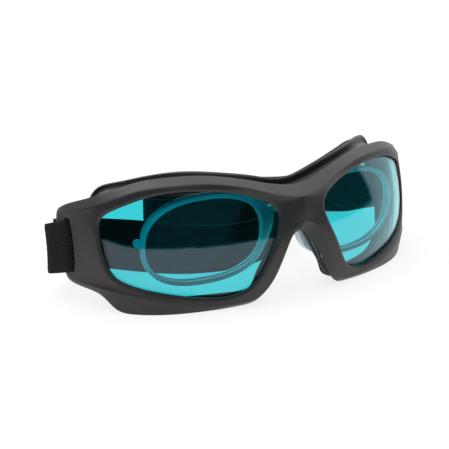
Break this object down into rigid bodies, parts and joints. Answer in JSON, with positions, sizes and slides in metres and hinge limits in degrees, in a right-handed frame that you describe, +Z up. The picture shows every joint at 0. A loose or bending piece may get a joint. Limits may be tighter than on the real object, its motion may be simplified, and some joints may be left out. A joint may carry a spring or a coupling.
{
  "type": "laser safety goggles",
  "caption": "Wrap-round protective goggles with tinted filter lenses, soft face carrier, inner prescription insert and an elastic head strap with adjuster.",
  "frame": {"origin": "on the surface the goggles stand on, in the mirror plane of the front, midway from the front of the wrap to the back of the folded strap", "axes": "+X towards the wearer's left temple, +Y from the lenses back towards the face, +Z up"},
  "size_m": [0.1856, 0.1097, 0.0546],
  "materials": {
    "shell": "satin",
    "filter": "polished",
    "carrier": "matte",
    "cushion": "matte",
    "insert": "polished",
    "insert_lens": "polished",
    "webbing": "woven",
    "slider": "satin"
  },
  "bodies": {
    "goggles": {"front_frame": "shell", "lens_right": "filter", "lens_left": "filter", "strap": "webbing"},
    "carrier": {"face_carrier": "carrier", "face_cushion": "cushion"},
    "insert": {"rx_frame": "insert", "rx_lens_right": "insert_lens", "rx_lens_left": "insert_lens"},
    "adjuster": {"strap_slider": "slider"}
  },
  "joints": [
    {"name": "carrier_pull", "type": "slide", "parent": "goggles", "child": "carrier", "axis": [0, 1, 0], "range_m": [0, 0.005]},
    {"name": "insert_pull", "type": "slide", "parent": "carrier", "child": "insert", "axis": [0, 1, 0], "range_m": [0, 0.012]},
    {"name": "adjuster_slide", "type": "slide", "parent": "goggles", "child": "adjuster", "axis": [0.9889, -0.1483, 0], "range_m": [-0.008, 0.008]}
  ]
}
